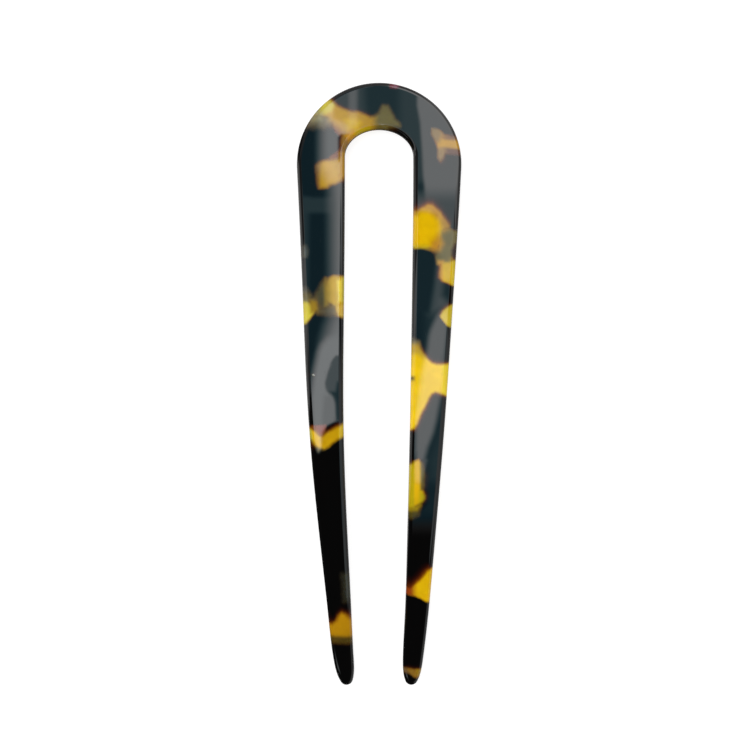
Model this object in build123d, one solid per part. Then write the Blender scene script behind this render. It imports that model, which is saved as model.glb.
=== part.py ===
from build123d import *
from collections import namedtuple
import math
import os

# A U-shaped hair pin in one piece: two tapering legs joined by a round crown.
# It is sawn from a flat sheet of cellulose acetate, bent a little over a round
# former, and polished until every edge is round. Nothing else is on it.
#
# Millimetres. The pin lies on z = 0 with its bulging front up. +Y runs towards
# the crown, +X is to the right of the front view, and the origin is below the
# middle of the pin's box.

# Overall size and the crown
overall_length = 127.0
crown_radius = 17.3
crown_wrap = 3.0             # degrees that the crown's arc runs on below its centre
crown_depth = 9.9            # from the crown's apex to the end of the slot
slot_width = 14.4
slot_end_height = 5.8        # height of the half ellipse that ends the slot

# The tips
tip_spacing = 13.4           # from the end of one tip to the end of the other
nose_radius = 1.35
nose_half_sweep = 65.0       # degrees of the nose's arc on each side of its apex

# The sheet, its bend and its polished edges
crown_thickness = 4.0
middle_thickness = 3.8
tip_thickness = 3.0
bend_radius = 450.0          # of the underside
edge_radius = 1.2
least_flat = 0.1             # what a rounded edge leaves of the surfaces beside it

# Sections along a leg, from the crown's centre (share 0) to its end (share 1).
# The width is a share of the leg's width at the crown. The spread says how far
# the centreline still is from the tip's offset: 1 at the crown, 0 at the tip.
# The legs were finished by hand, so left and right are not quite alike.
Section = namedtuple("Section", "share width left_spread right_spread")
LEG_SECTIONS = [
    Section(share=0.25, width=0.86, left_spread=0.90, right_spread=0.82),
    Section(share=0.50, width=0.72, left_spread=0.79, right_spread=0.61),
    Section(share=0.75, width=0.56, left_spread=0.46, right_spread=0.35),
    Section(share=0.86, width=0.49, left_spread=0.29, right_spread=0.22),
    Section(share=0.95, width=0.42, left_spread=0.14, right_spread=0.08),
]
LEFT, RIGHT = -1, 1

# Places that follow from the sizes
apex_y = overall_length / 2
tip_y = -overall_length / 2
crown_centre_y = apex_y - crown_radius
slot_end_y = apex_y - crown_depth - slot_end_height
leg_length = crown_centre_y - tip_y
leg_width = crown_radius - slot_width / 2
root_x = slot_width / 2 + leg_width / 2
tip_x = tip_spacing / 2
sheet_margin = leg_width / 2
sheet_half_length = apex_y + sheet_margin
sheet_half_width = crown_radius + sheet_margin


def turned(degrees):
    """The unit vector that lies this many degrees round from +X."""
    return Vector(math.cos(math.radians(degrees)), math.sin(math.radians(degrees)))


def leg_edges(side):
    """The outer edge, the nose and the inner edge of one leg in the front view."""
    outer, inner = [], []
    for section in LEG_SECTIONS:
        spread = section.left_spread if side == LEFT else section.right_spread
        centre_x = tip_x + spread * (root_x - tip_x)
        half_width = section.width * leg_width / 2
        y = crown_centre_y - section.share * leg_length
        outer.append(Vector(side * (centre_x + half_width), y))
        inner.append(Vector(side * (centre_x - half_width), y))

    # The nose points the way that the centreline runs last
    apex = Vector(side * tip_x, tip_y)
    ahead = (apex - (outer[-1] + inner[-1]) * 0.5).normalized()
    outward = Vector(-ahead.Y, ahead.X) * side
    sweep = turned(nose_half_sweep)
    nose_centre = apex - ahead * nose_radius
    nose_outer = nose_centre + (ahead * sweep.X + outward * sweep.Y) * nose_radius
    nose_inner = nose_centre + (ahead * sweep.X - outward * sweep.Y) * nose_radius
    into_nose = ahead * sweep.Y - outward * sweep.X
    out_of_nose = ahead * sweep.Y + outward * sweep.X

    wrap = turned(-crown_wrap)
    crown_end = Vector(side * crown_radius * wrap.X, crown_centre_y + crown_radius * wrap.Y)
    crown_run = Vector(side * wrap.Y, -wrap.X)
    slot_side = Vector(side * slot_width / 2, slot_end_y)
    return [
        Spline(crown_end, *outer, nose_outer, tangents=[crown_run, into_nose]),
        ThreePointArc(nose_outer, apex, nose_inner),
        Spline(slot_side, *inner, nose_inner, tangents=[Vector(0, -1), out_of_nose]),
    ]


def sawn_outline():
    """The outline that is sawn from the sheet, as a face on the XY plane."""
    right_leg = leg_edges(RIGHT)
    left_leg = leg_edges(LEFT)
    crown = ThreePointArc(left_leg[0] @ 0, (0, apex_y), right_leg[0] @ 0)
    slot_end = EllipticalCenterArc(
        (0, slot_end_y), slot_width / 2, slot_end_height, start_angle=0, arc_size=180
    )
    return make_face([crown, *right_leg, slot_end, *left_leg])


def bent_sheet():
    """The sheet, bent over the former and thinned towards the tips, before it is sawn."""
    drop = bend_radius - math.sqrt(bend_radius**2 - sheet_half_length**2)
    under = ThreePointArc((-sheet_half_length, -drop), (0, 0), (sheet_half_length, -drop))
    upper = ThreePointArc(
        (-sheet_half_length, tip_thickness - drop),
        (0, middle_thickness),
        (sheet_half_length, crown_thickness - drop),
    )
    profile = make_face([under, Line(under @ 1, upper @ 1), upper, Line(upper @ 0, under @ 0)])
    return extrude(Plane.YZ * profile, amount=sheet_half_width, both=True)


def hair_pin():
    """The pin, sawn from the bent sheet, with its edges polished round, lying on z = 0."""
    blank = extrude(sawn_outline(), amount=sheet_half_length, both=True)
    pin = blank & bent_sheet()
    thinnest = min(crown_thickness, middle_thickness, tip_thickness)
    rounding = min(edge_radius, nose_radius - least_flat, thinnest / 2 - least_flat)
    front = pin.faces().sort_by(Axis.Z)[-1]
    back = pin.faces().sort_by(Axis.Z)[0]
    pin = fillet(front.edges() + back.edges(), rounding)
    return Pos(0, 0, -pin.bounding_box().min.Z) * pin


pin = hair_pin()
size = pin.bounding_box().size
print(f"hair_pin {size.X:.2f} x {size.Y:.2f} x {size.Z:.2f} mm, {pin.volume:.0f} mm3")

os.makedirs("parts", exist_ok=True)
export_step(pin, "parts/hair_pin.step")
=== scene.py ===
# %% [markdown]
# A tortoiseshell hair pin, step by step.
#
# The real object is one piece of cellulose acetate: two legs joined by a round
# crown, sawn from a sheet, bent a little and tumbled until every edge is round.
# Everything that the eye reads on it comes from three things: how truly the
# polished surface is curved, how the amber and black are spread through the
# thickness, and what the gloss mirrors. The lesson takes them in that order.
#
# All lengths in the cells are millimetres, because that is how a maker thinks of
# a hair pin. Blender gets metres at the last moment, through MM. Only the waves of
# a noise are counted per metre.

# %% Load the frame
import math
from collections import namedtuple

import bpy
import numpy as np
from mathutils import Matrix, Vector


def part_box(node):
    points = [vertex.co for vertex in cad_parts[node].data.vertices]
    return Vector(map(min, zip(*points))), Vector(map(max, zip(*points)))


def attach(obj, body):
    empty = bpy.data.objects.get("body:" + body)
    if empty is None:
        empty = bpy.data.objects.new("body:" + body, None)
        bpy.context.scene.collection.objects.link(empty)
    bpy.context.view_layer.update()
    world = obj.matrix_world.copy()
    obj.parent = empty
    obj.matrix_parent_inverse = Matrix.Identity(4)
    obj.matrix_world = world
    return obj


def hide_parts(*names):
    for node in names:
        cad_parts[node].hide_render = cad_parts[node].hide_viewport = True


MM = 0.001
PIN_NODE = "hair_pin"

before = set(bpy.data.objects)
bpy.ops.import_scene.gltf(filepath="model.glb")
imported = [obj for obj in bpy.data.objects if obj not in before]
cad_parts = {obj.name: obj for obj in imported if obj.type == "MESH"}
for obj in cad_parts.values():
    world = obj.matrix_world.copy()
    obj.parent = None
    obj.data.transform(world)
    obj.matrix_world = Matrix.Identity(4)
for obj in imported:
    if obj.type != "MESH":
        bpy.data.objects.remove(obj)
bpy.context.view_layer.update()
pin_low, pin_high = (np.array(corner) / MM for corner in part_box(PIN_NODE))
print("pin from", pin_low.round(2), "to", pin_high.round(2), "mm")

# %% [markdown]
# The outline. Seen from the front the pin has two edges, one outside and one
# inside. A circle makes the crown, half an ellipse ends the slot, a small arc
# makes each nose, and a smooth curve through a few widths makes each leg.
#
# A polygon with a Bevel modifier could make this shape too, but a glossy surface
# shows every kink between straight pieces. So each edge is a formula, sampled as
# finely as the mirror images need.

# %% The sizes of the outline
apex_y = pin_high[1]
tip_y = pin_low[1]
crown_radius = pin_high[0]
crown_wrap = 3.0            # degrees that the crown's arc runs on below its centre
crown_depth = 9.9           # from the crown's apex to the end of the slot
slot_width = 14.4
slot_end_height = 5.8
tip_spacing = 13.4          # from the end of one tip to the end of the other
nose_radius = 1.35
nose_half_sweep = 65.0      # degrees of the nose's arc on each side of its apex

crown_centre_y = apex_y - crown_radius
slot_end_y = apex_y - crown_depth - slot_end_height
leg_length = crown_centre_y - tip_y
leg_width = crown_radius - slot_width / 2
root_x = (slot_width + leg_width) / 2
tip_x = tip_spacing / 2

# A leg's sections, from the crown's centre (share 0) to the tip (share 1). The
# width is a share of the leg's width at the crown, and the spread says how far
# the centreline still is from the tip's offset. Left and right differ a little,
# because the legs were finished by hand.
Section = namedtuple("Section", "share width left_spread right_spread")
LEG_SECTIONS = [
    Section(share=0.25, width=0.86, left_spread=0.90, right_spread=0.82),
    Section(share=0.50, width=0.72, left_spread=0.79, right_spread=0.61),
    Section(share=0.75, width=0.56, left_spread=0.46, right_spread=0.35),
    Section(share=0.86, width=0.49, left_spread=0.29, right_spread=0.22),
    Section(share=0.95, width=0.42, left_spread=0.14, right_spread=0.08),
]
LEFT, RIGHT = -1, 1
print(f"legs {leg_length:.1f} mm long and {leg_width:.1f} mm wide at the crown")

# %% Curves as arrays of places and normals
station_step = 0.32         # between two sections of the mesh, along an edge


def unit(vectors):
    """Each vector divided by its own length."""
    return vectors / np.linalg.norm(vectors, axis=-1, keepdims=True)


def turned(degrees):
    """The unit vector, or vectors, that lie this many degrees round from +X."""
    angle = np.radians(degrees)
    return np.stack([np.cos(angle), np.sin(angle)], axis=-1)


def smooth_curve(knots, first_run, last_run, counts):
    """A smooth curve through the knots: between two knots it is a cubic whose ends
    have the knots' runs, and the runs are chosen so that the bend is even where
    two cubics meet. counts says how many steps each stretch gets."""
    gaps = np.linalg.norm(np.diff(knots, axis=0), axis=1)
    rises = np.diff(knots, axis=0) / gaps[:, None] ** 2
    system = np.eye(len(knots))
    target = np.array([first_run, *np.zeros((len(knots) - 2, 2)), last_run])
    for knot in range(1, len(knots) - 1):
        before, after = gaps[knot - 1], gaps[knot]
        system[knot, knot - 1 : knot + 2] = 1 / before, 2 / before + 2 / after, 1 / after
        target[knot] = 3 * (rises[knot - 1] + rises[knot])
    runs = np.linalg.solve(system, target)
    places, directions = [], []
    for piece, count in enumerate(counts):
        share = np.linspace(0, 1, count, endpoint=False)[:, None]
        start, end = runs[piece] * gaps[piece], runs[piece + 1] * gaps[piece]
        step = knots[piece + 1] - knots[piece]
        bend, twist = 3 * step - 2 * start - end, start + end - 2 * step
        places.append(knots[piece] + share * (start + share * (bend + share * twist)))
        directions.append(start + share * (2 * bend + 3 * share * twist))
    return np.concatenate(places), unit(np.concatenate(directions))


# %% One leg's two edges
nose_steps = 14


def leg_edges(side):
    """The outer and the inner edge of a leg from the crown to the nose's apex, as
    places and outward normals. Row for row they face each other across the leg,
    half a width on each side of the centreline, which lies at the tip's offset plus
    its spread of the way out to the root's."""
    shares, widths, left_spreads, right_spreads = np.array(LEG_SECTIONS).T
    spreads = left_spreads if side == LEFT else right_spreads
    half_widths = widths * leg_width / 2
    centres = tip_x + spreads * (root_x - tip_x)
    heights = crown_centre_y - shares * leg_length
    outer_knots = np.stack([side * (centres + half_widths), heights], axis=1)
    inner_knots = np.stack([side * (centres - half_widths), heights], axis=1)

    # The nose points the way that the centreline runs last
    apex = np.array([side * tip_x, tip_y])
    ahead = unit(apex - (outer_knots[-1] + inner_knots[-1]) / 2)
    outward = np.array([-ahead[1], ahead[0]]) * side
    nose_centre = apex - ahead * nose_radius
    sweep = turned(nose_half_sweep)

    def round_nose(way):
        """The nose's quarter on one side, from the leg's straight edge to the apex."""
        angles = np.linspace(nose_half_sweep, 0, nose_steps + 1)
        spokes = turned(angles) @ np.array([ahead, way])
        return nose_centre + spokes * nose_radius, spokes

    outer_nose, outer_spokes = round_nose(outward)
    inner_nose, inner_spokes = round_nose(-outward)
    wrap = turned(-crown_wrap)
    crown_end = np.array([side * crown_radius * wrap[0], crown_centre_y + crown_radius * wrap[1]])
    slot_side = np.array([side * slot_width / 2, slot_end_y])
    outer_knots = np.array([crown_end, *outer_knots, outer_nose[0]])
    inner_knots = np.array([slot_side, *inner_knots, inner_nose[0]])
    gaps = np.linalg.norm(np.diff(outer_knots, axis=0), axis=1)
    counts = np.ceil(gaps / station_step).astype(int)
    crown_run = np.array([side * wrap[1], -wrap[0]])
    outer, outer_runs = smooth_curve(
        outer_knots, crown_run, ahead * sweep[1] - outward * sweep[0], counts
    )
    inner, inner_runs = smooth_curve(
        inner_knots, np.array([0, -1]), ahead * sweep[1] + outward * sweep[0], counts
    )
    outer_normals = np.stack([-outer_runs[:, 1], outer_runs[:, 0]], axis=1) * side
    inner_normals = np.stack([inner_runs[:, 1], -inner_runs[:, 0]], axis=1) * side
    return (
        np.concatenate([outer, outer_nose]),
        np.concatenate([outer_normals, outer_spokes]),
        np.concatenate([inner, inner_nose]),
        np.concatenate([inner_normals, inner_spokes]),
    )


# %% Both edges of the whole pin
def pin_edges():
    """The outer and inner edge from the left nose over the crown to the right nose.
    The crown's circle and the slot's half ellipse are stepped together."""
    left = leg_edges(LEFT)
    right = leg_edges(RIGHT)
    arc_length = crown_radius * math.radians(180 + 2 * crown_wrap)
    count = math.ceil(arc_length / station_step)
    share = np.linspace(0, 1, count + 1)[1:-1]
    spokes = turned(180 + crown_wrap - share * (180 + 2 * crown_wrap))
    crown = np.array([0, crown_centre_y]) + spokes * crown_radius
    half_slot = np.array([slot_width / 2, slot_end_height])
    slot_turn = turned(180 - share * 180)
    slot_end = np.array([0, slot_end_y]) + slot_turn * half_slot
    slot_normals = unit(-slot_turn / half_slot)
    middle = (crown, spokes, slot_end, slot_normals)
    return [
        np.concatenate([one_left[::-1], between, one_right])
        for one_left, between, one_right in zip(left, middle, right)
    ]


outer, outer_normal, inner, inner_normal = pin_edges()
across = np.linalg.norm(outer - inner, axis=1)
print(len(outer), "sections, the widest", across.max().round(2), "mm")

# %% [markdown]
# The sheet's thickness and its rounded edges. A section of the pin is a flat bar
# with round corners. All sections together are one grid: along the pin in one
# direction, round the bar in the other. At each nose the section closes on
# itself, so the grid ends there in a neat vertical seam and needs no cap.

# %% The height of both faces
bend_radius = 450.0         # of the underside
crown_thickness = 4.0
middle_thickness = 3.8
tip_thickness = 3.0
edge_radius = 1.0
sheet_half_length = apex_y + leg_width / 2      # the uncut sheet is longer than the pin
sheet_drop = bend_radius - math.sqrt(bend_radius**2 - sheet_half_length**2)

Arc = namedtuple("Arc", "centre_y centre_z radius")


def arc_through(low_end, middle, high_end):
    """The circle through three points of the sheet's profile: its two ends and its
    middle. Its centre lies where the lines that halve the two chords meet."""
    ends = np.array([[-sheet_half_length, low_end], [sheet_half_length, high_end]])
    crest = np.array([0.0, middle])
    chords = ends - crest
    centre = np.linalg.solve(chords, (chords * (ends + crest) / 2).sum(axis=1))
    return Arc(*centre, math.dist(centre, crest))


def height_of(arc, y):
    """The circle's upper height at y: its centre's, plus the side that is left of a
    right triangle whose longest side is the radius."""
    return arc.centre_z + np.sqrt(arc.radius**2 - (y - arc.centre_y) ** 2)


def tilt_of(arc, y, y_share):
    """How steeply the circle falls, as an angle, along a direction in the front view
    of which y_share is the part along +Y."""
    return np.arctan((y - arc.centre_y) / (height_of(arc, y) - arc.centre_z) * y_share)


underside = arc_through(-sheet_drop, 0.0, -sheet_drop)
upper_face = arc_through(tip_thickness - sheet_drop, middle_thickness, crown_thickness - sheet_drop)
lift = pin_high[2] - upper_face.centre_z - upper_face.radius
underside = underside._replace(centre_z=underside.centre_z + lift)
upper_face = upper_face._replace(centre_z=upper_face.centre_z + lift)
print("upper face bent to", round(upper_face.radius, 1), "mm, lifted by", lift.round(2), "mm")

# %% The rounded edges
edge_steps = 7
edge_shares = np.linspace(0, 1, edge_steps + 1)

# Points and their normals, both as sections by points round
Strip = namedtuple("Strip", "places normals")


def strip_normals(places, spokes, edge_normal):
    """The skin runs from section to section one way, and at right angles to its
    spoke the other way. Its normal is at right angles to both, on the spoke's side."""
    along = np.gradient(places, axis=0, edge_order=2)
    path = np.stack([edge_normal[:, 1], -edge_normal[:, 0], 0 * edge_normal[:, 0]], axis=1)
    normals = unit(np.cross(along, np.cross(spokes, path[:, None])))
    return normals * np.sign((normals * spokes).sum(axis=-1, keepdims=True))


def rounded_edge(edge, normal, face, up):
    """The rounding between a face and the wall, from the face to the wall. A ball of
    the edge's radius rolls along inside the edge and touches the wall and the
    face. Where the face falls towards the edge by some angle, the ball touches it
    that much further round."""
    centre = edge - normal * edge_radius
    fall = tilt_of(face, centre[:, 1], normal[:, 1]) * up
    turn = fall[:, None] + (math.pi / 2 - fall[:, None]) * edge_shares
    middle = height_of(face, centre[:, 1]) - up * edge_radius / np.cos(fall)
    flat_spokes = normal[:, None] * np.sin(turn)[..., None]
    spokes = np.concatenate([flat_spokes, up * np.cos(turn)[..., None]], axis=-1)
    centres = np.concatenate([centre, middle[:, None]], axis=1)
    places = centres[:, None] + spokes * edge_radius
    return Strip(places, strip_normals(places, spokes, normal))


# %% The faces and walls between the rounded edges
face_steps = 26
wall_steps = 2


def inside_columns(first, last, steps):
    """Rows of points strictly between two columns, evenly spread."""
    share = np.linspace(0, 1, steps + 1)[1:-1][:, None]
    return first[:, None] + (last - first)[:, None] * share


def face_strip(first, last, face, up):
    """The points of a face between two columns, at the heights that its circle has,
    with normals that point away from the circle's centre, or towards it below."""
    places = inside_columns(first, last, face_steps)
    places[..., 2] = height_of(face, places[..., 1])
    rise = places[..., 1:] - [face.centre_y, face.centre_z]
    normals = up * unit(np.concatenate([0 * rise[..., :1], rise], axis=-1))
    return Strip(places, normals)


def wall_strip(first, last, edge_normal):
    """The straight wall between two roundings, with spokes along the edge's normal."""
    places = inside_columns(first, last, wall_steps)
    spokes = np.concatenate([edge_normal, 0 * edge_normal[:, :1]], axis=1)[:, None]
    return Strip(places, strip_normals(places, spokes + 0 * places, edge_normal))


# %% The whole skin
def backwards(strip):
    """The same strip, run through from its last point round to its first."""
    return Strip(strip.places[:, ::-1], strip.normals[:, ::-1])


def pin_skin():
    """The whole skin as one strip: over the upper face from inside to outside, down
    the outer edge, back along the underside and up the inner edge."""
    outer_top = rounded_edge(outer, outer_normal, upper_face, 1)
    outer_low = backwards(rounded_edge(outer, outer_normal, underside, -1))
    inner_low = rounded_edge(inner, inner_normal, underside, -1)
    inner_top = backwards(rounded_edge(inner, inner_normal, upper_face, 1))
    strips = [
        face_strip(inner_top.places[:, -1], outer_top.places[:, 0], upper_face, 1),
        outer_top,
        wall_strip(outer_top.places[:, -1], outer_low.places[:, 0], outer_normal),
        outer_low,
        face_strip(outer_low.places[:, -1], inner_low.places[:, 0], underside, -1),
        inner_low,
        wall_strip(inner_low.places[:, -1], inner_top.places[:, 0], inner_normal),
        inner_top,
    ]
    return Strip(*(np.concatenate(part, axis=1) for part in zip(*strips)))


# %% Build the polished pin as one closed mesh
merge_decimals = 5          # of a millimetre, to which merged points agree


def closed_mesh(name, skin):
    """A mesh from a skin that closes on itself in its second direction. Points that
    coincide at the two noses are merged, which turns their quads into triangles.
    The exact normals are kept as custom ones, because a mirror shows the small
    error of normals averaged from faces."""
    rows, columns, _ = skin.places.shape
    index = np.arange(rows * columns).reshape(rows, columns)
    beside = np.roll(index, -1, axis=1)
    quads = np.stack([index[:-1], index[1:], beside[1:], beside[:-1]], axis=-1).reshape(-1, 4)
    places, normals = skin.places.reshape(-1, 3), skin.normals.reshape(-1, 3)
    _, keep, place_of = np.unique(
        places.round(merge_decimals), axis=0, return_index=True, return_inverse=True
    )
    places, normals = places[keep], normals[keep]
    quads = place_of.reshape(-1)[quads]
    repeats = (quads == np.roll(quads, -1, axis=1)).sum(axis=1)
    whole = quads[repeats == 0].tolist()
    pinched = [list(dict.fromkeys(quad)) for quad in quads[repeats == 1].tolist()]
    mesh = bpy.data.meshes.new(name)
    mesh.from_pydata((places * MM).tolist(), [], whole + pinched)
    mesh.validate()
    mesh.shade_smooth()
    mesh.normals_split_custom_set_from_vertices(normals.tolist())
    return mesh, places, normals


pin_mesh, pin_places, pin_normals = closed_mesh("polished_pin", pin_skin())
pin = bpy.data.objects.new("polished_pin", pin_mesh)
bpy.context.scene.collection.objects.link(pin)
print(len(pin_mesh.vertices), "vertices", len(pin_mesh.polygons), "faces")

# %% [markdown]
# The tortoiseshell. Acetate of this kind is made from chips: clear amber and a
# brown that is nearly black are cut up, stacked and pressed into a block, and the
# sheet is sliced from the block. So a patch of amber is a small many-sided body
# that goes some way into the sheet, and its sides are rarely upright. Where a film
# of brown lies over amber, the border glows orange and then red. Where amber lies
# thinly over brown, it darkens.
#
# A noise texture gives blotches, but not these few large patches with straight
# sides. So the patches are charted: a few corners each, a colour, the
# softness of the border, and the way the body leans and tapers with depth. Every
# point of the mesh then asks how far inside a patch it is at six depths, and the
# material lets the light go down through six layers.
# Some patches are painted reflections rather than chips: grey veils and pale spots of mirrored
# light laid into the colour. Some tints are painted edge glow.

# %% The colours of the chips
LEMON = 0.47, 0.39, 0.022
PALE_LEMON = 0.62, 0.50, 0.045
OLD_LEMON = 0.33, 0.28, 0.012
YELLOW = 0.66, 0.44, 0.003
GOLD = 0.57, 0.35, 0.0015
AMBER = 0.37, 0.21, 0.002
ORANGE = 0.40, 0.19, 0.003
HONEY = 0.34, 0.18, 0.006
TAN = 0.21, 0.11, 0.012
RUSSET = 0.12, 0.055, 0.008
MAROON = 0.115, 0.018, 0.007
OLIVE = 0.105, 0.082, 0.020
# The next colour is no chip's: it is a painted reflection, a grey veil of mirrored light.
PAINTED_VEIL = 0.120, 0.105, 0.060
SMOKE = 0.020, 0.021, 0.013
ROSE = 0.105, 0.010, 0.020
PINK = 0.150, 0.048, 0.075
CHALK = 0.30, 0.34, 0.34

# %% The chart of amber patches
def box(left, low, right, high):
    """The corners of an upright rectangle."""
    return [(left, low), (right, low), (right, high), (left, high)]


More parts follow.
